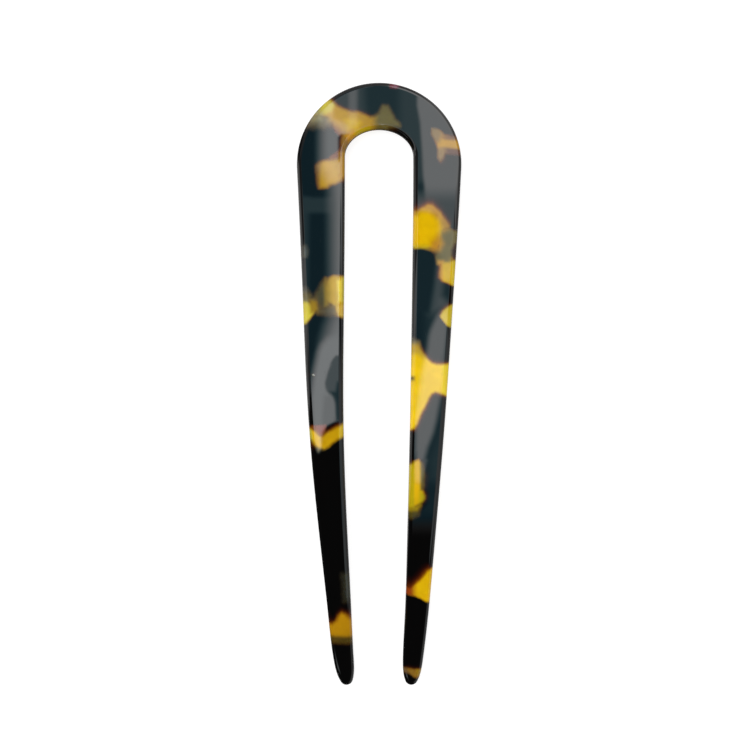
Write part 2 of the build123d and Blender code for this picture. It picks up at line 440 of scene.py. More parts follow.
# Corners are x, y in millimetres as seen from the front, at the upper face, and run
# past the pin's edge where a patch does. soft is the half width of the border, lean
# how far the body moves in x and y per millimetre of depth, and taper how much it
# narrows, or widens where it is negative.
Patch = namedtuple("Patch", "name tone soft corners lean taper", defaults=((0, 0), 0.0))
AMBER_AND_PAINTED_REFLECTION_PATCHES = [
    Patch("left_shoulder", AMBER, 0.55, lean=(0.2, 0.2), corners=[
        (-15.2, 56.9), (-13.0, 60.2), (-11.0, 60.0), (-9.6, 59.1), (-8.8, 58.4), (-7.6, 57.8),
        (-6.0, 57.2), (-4.4, 57.1), (-3.0, 56.6), (-2.0, 56.1), (-1.5, 55.1), (-1.4, 49.9),
        (-5.2, 49.9), (-6.8, 52.4), (-7.5, 53.1), (-8.2, 54.0), (-9.2, 54.6), (-10.2, 55.4),
        (-11.3, 56.0), (-13.2, 56.2),
    ]),
    # Painted reflection: a grey veil of mirrored light over the shoulder.
    Patch("left_shoulder_painted_veil", PAINTED_VEIL, 1.5, [
        (-15.2, 57.2), (-9.4, 56.4), (-8.8, 55.0), (-10.4, 54.4), (-12.4, 54.2), (-14.8, 54.4),
    ]),
    Patch("left_shoulder_film", MAROON, 0.5, [
        (-9.8, 55.4), (-8.4, 55.1), (-7.1, 54.1), (-6.9, 52.5), (-8.2, 52.2), (-9.1, 52.9),
        (-9.7, 54.2),
    ]),
    Patch("slot_sliver", TAN, 0.35, lean=(-0.7, 0.0), corners=[
        (-7.7, 52.7), (-6.5, 53.4), (-5.1, 54.1), (-4.9, 47.2), (-7.8, 47.2), (-7.9, 50.1),
    ]),
    Patch("left_root", AMBER, 0.65, taper=-0.1, corners=[
        (-13.1, 45.8), (-12.5, 46.5), (-11.0, 46.9), (-9.8, 47.2), (-8.6, 47.4), (-7.6, 48.2),
        (-5.0, 48.5), (-5.0, 43.4), (-7.5, 43.3), (-8.3, 42.6), (-9.3, 42.0), (-10.4, 41.7),
        (-11.0, 41.2), (-12.6, 41.1), (-12.8, 42.5), (-13.0, 44.1),
    ]),
    Patch("left_root_film", MAROON, 0.4, [
        (-10.4, 46.9), (-8.4, 47.2), (-7.9, 49.9), (-8.6, 48.9), (-10.2, 47.7),
    ]),
    Patch("slot_end", OLIVE, 0.7, [
        (-3.0, 56.0), (-1.1, 56.2), (-0.0, 57.0), (0.8, 58.5), (1.8, 58.5), (2.6, 57.0),
        (3.4, 55.6), (4.2, 54.8), (4.4, 54.1), (-3.0, 54.1),
    ]),
    Patch("slot_end_rim", OLIVE, 0.5, [
        (-3.1, 54.8), (0.9, 54.7), (2.1, 54.3), (1.7, 52.6), (-3.1, 52.6),
    ]),
    Patch("crown_spark", ROSE, 0.4, [
        (2.3, 62.3), (2.4, 65.0), (5.0, 65.0), (4.5, 62.8), (3.6, 62.2),
    ]),
    Patch("right_shoulder", (0.34, 0.17, 0.006), 0.45, lean=(0.15, -0.5), taper=-0.1, corners=[
        (11.1, 53.8), (12.3, 53.6), (13.3, 52.8), (14.1, 51.9), (15.4, 51.3), (18.6, 50.8),
        (18.6, 49.3), (16.2, 49.5), (13.9, 49.8), (13.7, 48.3), (13.3, 47.4), (12.8, 46.9),
        (12.3, 47.5), (12.3, 48.8), (12.2, 50.2), (11.7, 51.4), (11.1, 52.6),
    ]),
    Patch("right_shoulder_film", (0.080, 0.028, 0.016), 0.5, [
        (12.8, 52.4), (14.4, 52.2), (15.6, 51.9), (18.0, 51.8), (18.0, 48.0), (15.6, 48.2),
        (13.8, 48.4), (13.2, 50.0),
    ]),
    Patch("right_root", GOLD, 0.4, lean=(0.0, 0.6), taper=-0.2, corners=[
        (4.8, 35.6), (7.2, 35.8), (8.2, 36.2), (9.2, 36.9), (10.2, 37.4), (11.2, 37.3),
        (11.9, 36.7), (12.8, 35.9), (13.4, 34.9), (14.2, 33.7), (14.8, 32.9), (13.5, 32.2),
        (13.0, 31.0), (12.8, 29.4), (12.2, 28.3), (9.8, 28.4), (7.8, 28.3), (4.8, 28.1),
    ]),
    Patch("right_root_foot", (0.055, 0.030, 0.022), 0.6, [
        (9.4, 28.6), (12.4, 28.7), (12.8, 27.3), (12.0, 27.1), (11.0, 27.9),
    ]),
    Patch("right_root_tail", OLIVE, 0.45, [
        (12.7, 32.2), (14.3, 32.7), (15.7, 32.1), (18.4, 31.9), (18.4, 29.6), (15.7, 29.4),
        (15.1, 28.0), (15.1, 25.0), (12.1, 25.0), (11.8, 26.6), (12.2, 28.2), (12.6, 29.8),
    ]),
    Patch("right_edge_upper", GOLD, 0.4, lean=(-0.25, 0.0), taper=-0.1, corners=[
        (12.9, 25.2), (14.0, 25.6), (15.4, 25.8), (18.2, 26.0), (18.2, 20.4), (15.4, 20.7),
        (14.4, 21.2), (13.3, 21.6), (12.7, 22.2),
    ]),
    Patch("right_edge_lower", (0.48, 0.35, 0.022), 0.35, lean=(-0.1, 0.35), taper=-0.1, corners=[
        (12.8, 14.1), (13.4, 15.2), (14.0, 15.8), (15.0, 16.4), (18.0, 16.6), (18.0, 11.6),
        (15.0, 11.7), (14.2, 12.2), (13.6, 13.0),
    ]),
    Patch("left_middle", (0.42, 0.26, 0.002), 0.5, lean=(-0.3, 0.0), corners=[
        (-10.9, 21.5), (-10.4, 22.2), (-9.6, 22.6), (-8.4, 22.6), (-5.0, 22.3), (-5.0, 13.9),
        (-7.5, 13.9), (-8.6, 14.3), (-9.0, 15.0), (-9.4, 16.1), (-10.0, 16.8), (-11.0, 17.1),
        (-11.3, 18.4), (-11.2, 20.2),
    ]),
    Patch("left_middle_fade", (0.050, 0.044, 0.016), 0.8, [
        (-13.3, 18.7), (-12.1, 20.9), (-11.1, 22.1), (-10.7, 19.7), (-10.5, 16.5), (-11.5, 15.3),
        (-13.3, 15.3), (-13.7, 17.1),
    ]),
    Patch("left_middle_under", (0.074, 0.053, 0.022), 0.9, [
        (-13.0, 15.8), (-8.9, 16.6), (-8.9, 14.7), (-10.6, 14.4), (-12.8, 14.8),
    ]),
    Patch("left_link", RUSSET, 0.6, [
        (-14.5, 17.9), (-12.9, 18.2), (-11.7, 17.1), (-11.3, 15.9), (-12.7, 15.3), (-14.3, 15.3),
    ]),
    # The amber chip is real; its lemon tone is partly painted edge glow, light coming in through
    # the wall.
    Patch("left_edge", LEMON, 0.4, lean=(0.0, -0.2), corners=[
        (-18.3, 17.8), (-16.1, 17.7), (-14.9, 17.5), (-14.0, 16.9), (-13.2, 16.0), (-13.0, 15.6),
        (-13.7, 14.7), (-14.6, 13.6), (-15.3, 12.7), (-18.3, 12.4),
    ]),
    # Painted reflections, this patch and the next: pale grey spots where the left edge mirrors
    # window panes.
    Patch("left_edge_painted_glint_low", (0.070, 0.070, 0.052), 0.9, [
        (-16.1, 20.0), (-15.4, 20.1), (-14.4, 18.6), (-14.2, 17.0), (-16.1, 17.0),
    ]),
    Patch("left_edge_painted_glint_high", (0.062, 0.070, 0.062), 0.7, [
        (-15.9, 28.7), (-15.4, 28.9), (-15.0, 27.7), (-15.3, 26.6), (-15.8, 26.7),
    ]),
    Patch("left_band", (0.43, 0.25, 0.002), 0.55, lean=(0.0, 0.5), taper=-0.05, corners=[
        (-18.0, -9.6), (-14.4, -9.4), (-13.4, -9.9), (-12.5, -10.8), (-11.7, -10.8), (-10.6, -10.1),
        (-9.4, -9.5), (-8.3, -9.0), (-7.8, -8.6), (-5.0, -8.4), (-5.0, -11.2), (-7.6, -11.2),
        (-8.8, -11.6), (-9.8, -12.4), (-10.6, -13.2), (-11.6, -13.8), (-12.2, -13.8),
        (-12.7, -14.2), (-13.4, -12.7), (-14.3, -11.5), (-18.0, -11.2),
    ]),
    Patch("left_band_film", (0.15, 0.014, 0.006), 0.45, [
        (-14.0, -8.8), (-11.2, -8.6), (-11.3, -9.7), (-12.0, -11.1), (-12.9, -10.5),
    ]),
    Patch("right_middle", YELLOW, 0.45, taper=-0.45, corners=[
        (3.8, 7.9), (7.2, 7.9), (8.2, 7.6), (8.8, 6.9), (9.5, 5.9), (10.2, 5.0), (11.0, 4.3),
        (12.0, 4.0), (17.8, 4.0), (17.8, -2.2), (14.0, -2.2), (13.0, -1.9), (11.8, -1.5),
        (10.9, -1.9), (10.3, -2.8), (9.8, -4.0), (9.1, -5.3), (8.4, -6.7), (7.9, -8.0), (7.3, -9.2),
        (3.8, -9.6),
    ]),
    # Painted reflection: a grey veil of mirrored light by the leg's inner edge.
    Patch("right_middle_painted_veil", (0.080, 0.076, 0.048), 0.8, [
        (4.0, 10.0), (6.6, 9.8), (8.2, 8.9), (8.6, 7.0), (4.0, 7.2),
    ]),
    Patch("right_streak", GOLD, 0.5, lean=(0.25, 0.1), taper=-0.1, corners=[
        (3.9, -17.0), (6.9, -16.8), (7.5, -16.1), (8.2, -15.9), (9.0, -16.6), (9.4, -19.2),
        (9.3, -21.2), (9.1, -22.2), (9.2, -22.9), (9.4, -23.5), (9.4, -24.0), (9.0, -24.6),
        (8.5, -25.1), (7.9, -25.6), (7.1, -26.1), (3.9, -26.4),
    ]),
    Patch("right_streak_foot", (0.055, 0.042, 0.006), 0.7, [
        (4.1, -25.6), (8.7, -25.2), (8.2, -27.4), (6.9, -28.1), (4.1, -27.8),
    ]),
    Patch("right_lower", GOLD, 0.35, lean=(-0.6, 0.6), corners=[
        (14.3, -38.6), (11.1, -38.9), (10.3, -39.4), (9.5, -40.4), (8.7, -41.4), (7.7, -42.2),
        (6.7, -43.0), (4.3, -43.0), (4.3, -44.2), (6.5, -44.4), (7.7, -44.6), (8.9, -45.1),
        (9.9, -45.8), (10.9, -46.2), (14.3, -46.4),
    ]),
    Patch("right_tip", TAN, 0.4, lean=(0.1, 0.45), corners=[
        (4.1, -59.8), (6.1, -60.0), (7.5, -60.2), (10.1, -60.2), (10.1, -61.4), (8.5, -62.2),
        (7.4, -61.8), (6.3, -61.0), (5.5, -60.9), (4.1, -61.4),
    ]),
    Patch("left_lower", (0.35, 0.175, 0.002), 0.6, lean=(0.0, 0.6), taper=-0.1, corners=[
        (-11.8, -51.1), (-9.8, -50.6), (-9.0, -49.9), (-8.5, -48.9), (-7.9, -48.2), (-7.1, -48.6),
        (-6.3, -49.5), (-4.8, -50.0), (-3.9, -53.4), (-6.8, -53.6), (-9.4, -53.5), (-11.8, -53.1),
    ]),
    Patch("left_lower_foot", (0.032, 0.024, 0.004), 0.6, [
        (-11.8, -52.5), (-3.8, -52.8), (-3.8, -54.4), (-6.8, -54.6), (-9.4, -54.4), (-11.8, -54.1),
    ]),
    Patch("left_smoke", SMOKE, 1.0, [(-7.7, -39.9), (-5.1, -39.5), (-4.7, -45.3), (-7.3, -45.5)]),
    Patch("left_speck", CHALK, 0.15, box(-13.94, 1.75, -13.49, 2.05)),
]
print(len(AMBER_AND_PAINTED_REFLECTION_PATCHES), "patches")

# %% The chart of tints
# Within a patch the chips differ in colour. Some tints are painted light instead:
# paler lemon rims where an edge is lit through its wall, a painted veil and a
# painted glint. Each tint is laid over the patches' colours and over the tints
# before it, and doesn't change where the amber is.
Tint = namedtuple("Tint", "name tone soft corners")
AMBER_AND_PAINTED_LIGHT_TINTS = [
    Tint("shoulder_body", (0.34, 0.19, 0.003), 1.2, [
        (-10.4, 59.4), (-4.0, 57.4), (-1.0, 56.0), (-1.0, 53.0), (-7.6, 53.0), (-10.4, 55.4),
    ]),
    # Painted edge glow: paler, more lemon amber where light comes in through the wall.
    Tint("shoulder_tip_painted_glow", (0.40, 0.33, 0.03), 0.5, [
        (-15.0, 56.6), (-12.8, 61.0), (-10.2, 60.4), (-9.3, 58.9), (-9.9, 57.4), (-11.2, 56.8),
        (-13.0, 56.6),
    ]),
    # Painted edge glow: paler, more lemon amber where light comes in through the wall.
    Tint("shoulder_rim_painted_glow", OLD_LEMON, 0.4, [
        (-15.4, 56.4), (-13.6, 60.4), (-11.6, 60.0), (-11.9, 58.4), (-12.6, 57.0),
    ]),
    Tint("shoulder_glow", (0.46, 0.29, 0.002), 0.9, [
        (-7.2, 55.6), (-5.0, 56.0), (-3.6, 54.9), (-4.6, 53.4), (-6.6, 53.6),
    ]),
    # Painted edge glow: paler, more lemon amber along the slot, lit through the wall.
    Tint("slot_rim_painted_glow", (0.36, 0.255, 0.003), 0.4, [
        (-6.0, 52.0), (-4.4, 53.4), (-2.8, 54.0), (-1.8, 54.2), (-1.6, 50.0), (-5.0, 50.0),
    ]),
    Tint("sliver_top", ORANGE, 0.5, [(-7.2, 52.2), (-5.4, 53.4), (-4.8, 51.6), (-6.4, 50.8)]),
    # Painted reflection: a pale grey veil of mirrored light over the shoulder's amber.
    Tint("shoulder_painted_veil", (0.24, 0.215, 0.11), 1.0, [
        (-13.7, 58.0), (-12.8, 58.0), (-11.9, 56.6), (-12.2, 55.5), (-13.8, 55.5),
    ]),
    Tint("branch_stem", (0.36, 0.19, 0.006), 0.45, [
        (12.2, 51.4), (15.4, 51.2), (18.6, 51.1), (18.6, 49.1), (15.4, 49.5), (12.4, 49.7),
    ]),
    Tint("branch_top", (0.16, 0.10, 0.028), 0.7, [
        (10.6, 54.4), (12.6, 54.2), (13.4, 52.6), (12.6, 50.8), (10.8, 51.0),
    ]),
    Tint("branch_foot", (0.18, 0.11, 0.036), 0.7, box(11.8, 46.4, 13.9, 49.6)),
    Tint("root_margin", TAN, 0.6, [(-13.6, 46.9), (-12.2, 47.1), (-12.4, 40.5), (-13.4, 40.5)]),
    Tint("root_middle", (0.39, 0.22, 0.008), 0.8, [
        (-11.4, 46.1), (-9.0, 46.5), (-8.8, 42.9), (-11.0, 42.3),
    ]),
    Tint("root_rim", HONEY, 0.4, [(-8.4, 48.6), (-5.0, 48.8), (-5.0, 43.0), (-8.4, 43.0)]),
    Tint("spark_heart", PINK, 0.35, box(3.1, 62.5, 3.8, 63.2)),
    Tint("root_side", (0.30, 0.155, 0.005), 0.9, [
        (12.6, 36.8), (15.2, 33.0), (13.6, 31.8), (12.9, 33.6),
    ]),
    Tint("root_crest", (0.38, 0.19, 0.008), 0.9, [
        (8.6, 38.0), (12.8, 37.4), (13.2, 34.6), (11.9, 34.8), (10.4, 36.2), (8.8, 36.2),
    ]),
    Tint("root_corner_top", (0.36, 0.19, 0.004), 0.7, [
        (5.0, 36.6), (8.8, 37.0), (8.2, 35.4), (5.0, 34.9),
    ]),
    Tint("root_corner", ORANGE, 1.0, [
        (10.9, 29.8), (12.4, 31.4), (13.4, 29.4), (12.6, 28.0), (10.7, 28.0),
    ]),
    Tint("root_foot", (0.44, 0.31, 0.003), 0.6, box(5.0, 27.6, 10.4, 29.2)),
    Tint("upper_margin", (0.40, 0.20, 0.02), 0.5, [
        (12.3, 25.8), (13.5, 25.8), (13.4, 21.4), (12.2, 21.4),
    ]),
    Tint("upper_body", (0.46, 0.30, 0.006), 0.6, [
        (13.4, 25.2), (15.4, 25.4), (15.4, 20.8), (13.6, 21.6),
    ]),
    # Painted edge glow: paler, more lemon amber where light comes in through the wall.
    Tint("upper_rim_painted_glow", (0.50, 0.37, 0.006), 0.35, [
        (15.2, 26.4), (18.2, 26.4), (18.2, 20.4), (15.1, 20.4),
    ]),
    # Painted edge glow: paler, more lemon amber where light comes in through the wall.
    Tint("lower_rim_painted_glow", (0.42, 0.33, 0.012), 0.35, box(14.4, 11.8, 18.0, 17.2)),
    Tint("middle_left", (0.26, 0.165, 0.006), 0.8, [
        (-11.3, 23.2), (-10.5, 23.2), (-10.2, 19.2), (-10.4, 16.4), (-11.2, 16.4),
    ]),
    Tint("middle_strip", PALE_LEMON, 0.5, [(-8.8, 21.6), (-7.8, 21.8), (-7.8, 17.4), (-8.5, 17.2)]),
    # Painted edge glow: paler, more lemon amber on the bevel, lit through the wall.
    Tint("middle_rim_painted_glow", (0.38, 0.33, 0.02), 0.3, [
        (-7.7, 22.8), (-5.0, 22.8), (-5.0, 17.0), (-7.7, 17.2),
    ]),
    Tint("middle_foot", (0.46, 0.31, 0.045), 0.5, [
        (-8.8, 16.0), (-7.4, 16.6), (-7.4, 13.6), (-8.6, 14.2),
    ]),
    Tint("edge_inside", (0.24, 0.145, 0.003), 0.5, [
        (-14.7, 17.8), (-13.1, 17.2), (-12.9, 15.0), (-14.3, 14.8),
    ]),
    Tint("edge_top", OLIVE, 0.8, [(-18.2, 19.2), (-13.4, 19.2), (-13.4, 17.8), (-18.2, 17.7)]),
    Tint("band_left", GOLD, 0.4, [
        (-14.6, -9.3), (-13.3, -10.0), (-12.4, -11.1), (-12.3, -13.2), (-13.6, -13.4),
        (-14.6, -12.4),
    ]),
    # Painted edge glow: paler, more lemon amber where light comes in through the wall.
    Tint("band_rim_painted_glow", (0.36, 0.32, 0.04), 0.3, [
        (-18.0, -9.2), (-14.1, -9.4), (-13.8, -12.4), (-18.0, -12.4),
    ]),
    Tint("band_point", OLIVE, 0.5, [
        (-13.6, -12.9), (-12.6, -13.3), (-11.4, -13.7), (-10.4, -13.4), (-10.4, -15.0),
        (-14.0, -15.0),
    ]),
    Tint("band_right", (0.50, 0.35, 0.004), 0.5, box(-8.4, -12.0, -5.0, -8.0)),
    Tint("middle_top", (0.40, 0.26, 0.012), 0.9, [
        (4.0, 8.5), (8.4, 8.3), (10.4, 5.5), (9.0, 5.6), (7.8, 6.3), (4.0, 6.3),
    ]),
    # Painted edge glow: paler, more lemon amber where light comes in through the wall.
    Tint("middle_edge_painted_glow", (0.62, 0.47, 0.012), 0.4, [
        (13.2, 4.2), (18.0, 4.2), (18.0, -2.4), (13.1, -2.4),
    ]),
    Tint("middle_speck", (0.10, 0.06, 0.004), 0.45, [
        (6.3, 0.6), (6.3, 1.7), (7.4, 1.5), (7.4, 0.9),
    ]),
    Tint("streak_side", (0.11, 0.078, 0.010), 0.45, [
        (8.6, -15.2), (10.3, -15.2), (10.1, -22.5), (8.6, -22.3),
    ]),
    Tint("streak_low", (0.34, 0.28, 0.004), 0.6, [
        (8.5, -22.6), (10.5, -23.2), (9.7, -25.2), (8.5, -25.6),
    ]),
    Tint("streak_end", (0.27, 0.19, 0.004), 0.5, [
        (3.9, -25.8), (7.5, -25.7), (8.9, -25.0), (8.1, -26.5), (3.9, -26.7),
    ]),
    # Painted edge glow: paler, more lemon amber on the bevel, lit through the wall.
    Tint("streak_rim_painted_glow", (0.38, 0.29, 0.003), 0.3, [
        (4.0, -16.0), (7.4, -16.0), (7.3, -25.7), (4.0, -25.7),
    ]),
    Tint("lower_end", (0.22, 0.037, 0.003), 1.0, [
        (4.1, -42.2), (7.3, -41.9), (7.5, -44.9), (4.1, -44.9),
    ]),
    # Painted glint: a greyer streak where the nose's inner edge mirrors a lamp.
    Tint("tip_painted_glint", (0.12, 0.070, 0.025), 0.35, [
        (4.5, -59.4), (5.6, -59.4), (6.4, -60.8), (5.7, -61.4), (4.7, -61.4),
    ]),
    Tint("tip_side", (0.25, 0.15, 0.006), 0.5, [
        (7.7, -59.9), (9.7, -59.9), (9.7, -61.9), (8.1, -61.5),
    ]),
]
print(len(AMBER_AND_PAINTED_LIGHT_TINTS), "tints")

# %% How far inside the amber a place is
LAYER_TOPS = np.array([0.0, 0.2, 0.45, 0.8, 1.3, 2.1])   # depths at which every point asks
layer_blur = 0.3            # how much softer a border looks per millimetre of depth
furthest = 4                # from a border, in softnesses, beyond which nothing changes


def inside_polygon(x, y, corners):
    """Distance to the polygon's outline, positive inside. The nearest side gives the
    distance. The side of the outline comes from how many of the polygon's sides a
    ray towards +X crosses."""
    starts = np.array(corners, dtype=float)
    steps = np.roll(starts, -1, axis=0) - starts
    nearest = np.full(x.shape, np.inf)
    inside = np.zeros(x.shape, dtype=bool)
    for (start_x, start_y), (step_x, step_y) in zip(starts, steps):
        from_x, from_y = x - start_x, y - start_y
        share = (from_x * step_x + from_y * step_y) / (step_x**2 + step_y**2)
        share = np.clip(share, 0, 1)
        nearest = np.minimum(nearest, np.hypot(from_x - share * step_x, from_y - share * step_y))
        crosses = (from_y < 0) != (from_y < step_y)
        if step_y:
            inside ^= crosses & (from_x < from_y * step_x / step_y)
    return np.where(inside, nearest, -nearest)


def eased(value):
    """A smooth step from 0 to 1 while value runs from -1 to 1: the share of the way,
    squared, times three less twice that share."""
    share = np.clip((value + 1) / 2, 0, 1)
    return share * share * (3 - 2 * share)


def inside_patch(patch, places):
    """How far inside the amber body a place is, as a share of the border's softness.
    The body's outline moves and shrinks with the depth below the upper face."""
    x, y, z = places.T
    depth = height_of(upper_face, y) - z
    lean_x, lean_y = patch.lean
    inside = inside_polygon(x - lean_x * depth, y - lean_y * depth, patch.corners)
    soft = np.hypot(patch.soft, layer_blur * depth)
    return np.clip((inside - patch.taper * depth) / soft, -furthest, furthest)


# %% The amber's colour at a place
tone_reach = 0.4            # over which two patches share their tone


def amber_and_painted_light_tint(places):
    """The colour of the amber at or near a place: the patches' colours, with weights
    that fall off exponentially with the distance outside each, and the tints laid
    over them in turn."""
    x, y, _ = places.T
    inside = np.array([inside_polygon(x, y, patch.corners) for patch in AMBER_AND_PAINTED_REFLECTION_PATCHES])
    shares = np.exp((inside - inside.max(axis=0)) / tone_reach)
    tones = np.array([patch.tone for patch in AMBER_AND_PAINTED_REFLECTION_PATCHES])
    colours = shares.T @ tones / shares.sum(axis=0)[:, None]
    for tint in AMBER_AND_PAINTED_LIGHT_TINTS:
        share = eased(inside_polygon(x, y, tint.corners) / tint.soft)[:, None]
        colours += (np.array(tint.tone) - colours) * share
    return colours


# %% Write the amber into the mesh
layers = [
    np.max([inside_patch(patch, pin_places - pin_normals * top) for patch in AMBER_AND_PAINTED_REFLECTION_PATCHES], axis=0)
    for top in LAYER_TOPS
]
POINT_FIELDS = {
    "amber_and_painted_reflection_upper": np.stack(layers[:3], axis=1),
    "amber_and_painted_reflection_lower": np.stack(layers[3:], axis=1),
    "amber_and_painted_light_tint": amber_and_painted_light_tint(pin_places),
}
for field_name, values in POINT_FIELDS.items():
    field = pin_mesh.attributes.new(field_name, "FLOAT_VECTOR", "POINT")
    field.data.foreach_set("vector", values.ravel())
print(f"{(layers[0] > 0).mean():.0%} of the skin is amber")

# %% [markdown]
# The finish. Polished acetate is smooth and has a refractive index of about 1.48,
# so it mirrors a few per cent of what is above it and shows its own colour through
# that veil. The brown is so dark that on it the mirror image is nearly all one sees.
# The amber lets light in and gives it back a millimetre away, which a subsurface
# share stands for. A clear coat over a rough body would look lacquered instead.

# %% Small helpers for node trees
def emptied_tree(owner):
    """The node tree of a material or a world, with nothing in it yet."""
    owner.use_nodes = True
    owner.node_tree.nodes.clear()
    return owner.node_tree


def joined(tree, node_type, values, **settings):
    """A new node. values gives its inputs by name or number: a socket is linked, and
    anything else is set."""
    node = tree.nodes.new(node_type)
    for setting, value in settings.items():
        setattr(node, setting, value)
    for name, value in values.items():
        if isinstance(value, bpy.types.NodeSocket):
            tree.links.new(value, node.inputs[name])
        else:
            node.inputs[name].default_value = value
    return node


def maths(tree, operation, first, second):
    """One Math node."""
    return joined(tree, "ShaderNodeMath", {0: first, 1: second}, operation=operation).outputs[0]


def smooth_step(tree, value, low, high, to_low=0.0, to_high=1.0):
    """A soft step of value from low to high."""
    node = joined(
        tree,
        "ShaderNodeMapRange",
        {"Value": value, "From Min": low, "From Max": high, "To Min": to_low, "To Max": to_high},
        interpolation_type="SMOOTHSTEP",
    )
    return node.outputs["Result"]


def blend_colours(tree, share, first, second, way="MIX"):
    """Two colours, each a socket or four numbers, mixed, multiplied or added. The
    sockets have numbers, because a Mix node has the same names for every kind."""
    values = {0: share, 6: first, 7: second}
    return joined(tree, "ShaderNodeMix", values, data_type="RGBA", blend_type=way).outputs[2]


def noise(tree, coordinates, scale, detail=2.0, roughness=0.5):
    """A noise value round 0.5. scale is in waves per metre."""
    values = {"Vector": coordinates, "Scale": scale, "Detail": detail, "Roughness": roughness}
    return joined(tree, "ShaderNodeTexNoise", values).outputs["Fac"]


# %% The acetate's colour
BROWN = 0.0006, 0.0005, 0.0005, 1
film_dimming = np.array([1.9, 3.0, 4.4])    # of red, green and blue, per millimetre of brown
amber_gathering = 3.2                       # how fast amber reaches its full colour, per millimetre
deepest = 3.4                               # where the last layer ends
border_wander = 0.3                         # how far a border strays, as a share of its softness
border_waves = 800                          # of the noise that makes it stray, per metre


def acetate_colour(tree, coordinates):
    """The colour that comes back out, and how much amber lies on top. From the lowest
    layer up, each layer is partly brown, which dims what lies below it, and partly
    amber, which lays its own colour over what lies below. A wandering of every
    border takes the straightness of the chart away."""
    strays = maths(tree, "SUBTRACT", noise(tree, coordinates, border_waves), 0.5)
    wander = maths(tree, "MULTIPLY", strays, border_wander * 2)
    insides = []
    for field_name in ("amber_and_painted_reflection_upper", "amber_and_painted_reflection_lower"):
        field = joined(tree, "ShaderNodeAttribute", {}, attribute_name=field_name)
        split = joined(tree, "ShaderNodeSeparateXYZ", {0: field.outputs["Vector"]})
        insides += [maths(tree, "ADD", output, wander) for output in split.outputs]
    amber_and_painted_reflection_shares = [smooth_step(tree, inside, -1.0, 1.0) for inside in insides]
    tint = joined(tree, "ShaderNodeAttribute", {}, attribute_name="amber_and_painted_light_tint").outputs["Vector"]
    colour = BROWN
    thicknesses = np.diff([*LAYER_TOPS, deepest])
    for share, thickness in list(zip(amber_and_painted_reflection_shares, thicknesses))[::-1]:
        film = *np.exp(-film_dimming * thickness), 1
        gathered = 1 - math.exp(-amber_gathering * thickness)
        under_brown = blend_colours(tree, 1.0, colour, film, "MULTIPLY")
        under_amber = blend_colours(tree, gathered, colour, tint)
        colour = blend_colours(tree, share, under_brown, under_amber)
    return blend_colours(tree, 1.0, colour, BROWN, "ADD"), amber_and_painted_reflection_shares[0]


# %% The acetate's finish
cloud_glow = 0.92, 1.06                     # brightness of the dimmest and the brightest clouds
wiping_stretch = 1.0, 0.06, 1.0             # draws wiping marks out along the pin
polish_roughness = 0.011, 0.026             # where it is untouched, and where it is worn
glow_share = 0.35                           # of the amber's light that travels inside it
glow_reach = 1.2                            # how far red light gets, and the others less


def worn_roughness(tree, coordinates):
    """The roughness. It rises where fine wiping marks cross a place that was handled."""
    stretched = joined(
        tree, "ShaderNodeVectorMath", {0: coordinates, 1: wiping_stretch}, operation="MULTIPLY"
    )
    wiping = smooth_step(tree, noise(tree, stretched.outputs[0], scale=4200), low=0.5, high=0.7)
    handled = noise(tree, coordinates, scale=420, detail=3.0, roughness=0.6)
    handled = smooth_step(tree, handled, low=0.45, high=0.65)
    wear = maths(tree, "MULTIPLY", wiping, handled)
    return smooth_step(tree, wear, 0.0, 1.0, *polish_roughness)


def make_acetate():
    """Polished tortoiseshell acetate, brighter and dimmer in faint clouds."""
    material = bpy.data.materials.new("tortoiseshell_acetate_polished")
    tree = emptied_tree(material)
    coordinates = joined(tree, "ShaderNodeTexCoord", {}).outputs["Object"]
    colour, amber_and_painted_reflection_share = acetate_colour(tree, coordinates)
    clouds = noise(tree, coordinates, scale=260, detail=3.0, roughness=0.55)
    glow = smooth_step(tree, clouds, 0.3, 0.7, *cloud_glow)
    clouded = joined(tree, "ShaderNodeHueSaturation", {"Value": glow, "Color": colour})
    skin = joined(
        tree,
        "ShaderNodeBsdfPrincipled",
        {
            "Base Color": clouded.outputs[0],
            "Roughness": worn_roughness(tree, coordinates),
            "IOR": 1.48,
            "Subsurface Weight": maths(tree, "MULTIPLY", amber_and_painted_reflection_share, glow_share),
            "Subsurface Radius": (1.0, 0.55, 0.1),
            "Subsurface Scale": glow_reach * MM,
        },
    )
    joined(tree, "ShaderNodeOutputMaterial", {"Surface": skin.outputs[0]})
    return material


acetate = make_acetate()
pin_mesh.materials.append(acetate)
print(len(acetate.node_tree.nodes), "nodes in the acetate")
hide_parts(PIN_NODE)
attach(pin, "root")

# %% [markdown]
# The studio. The pin lies by itself on a white table, which gives off light of its
# own, so that it looks white all over and still shows a faint shadow round the pin.
# The camera looks straight down from 60 cm, which is near enough for the raised
# middle of the pin to be a little larger than its ends.

# %% The camera
view_x, view_y = -0.863, 1.896      # of the picture's middle
view_width = 158.4
outline_height = 2.0                # above the table, where the picture is that wide
camera_height = 600.0               # above that height
film_width = 36.0
nearest_seen, furthest_seen = 10.0, 20000.0

camera_data = bpy.data.cameras.new("view")
camera_data.sensor_width = film_width
camera_data.lens = film_width * camera_height / view_width
camera_data.clip_start = nearest_seen * MM
camera_data.clip_end = furthest_seen * MM
camera = bpy.data.objects.new("view", camera_data)
camera.location = view_x * MM, view_y * MM, (camera_height + outline_height) * MM
bpy.context.scene.collection.objects.link(camera)
bpy.context.scene.camera = camera
bpy.context.scene.view_settings.view_transform = "Standard"
print("lens", round(camera_data.lens, 1), "mm")

# %% The table
table_width = 8000.0


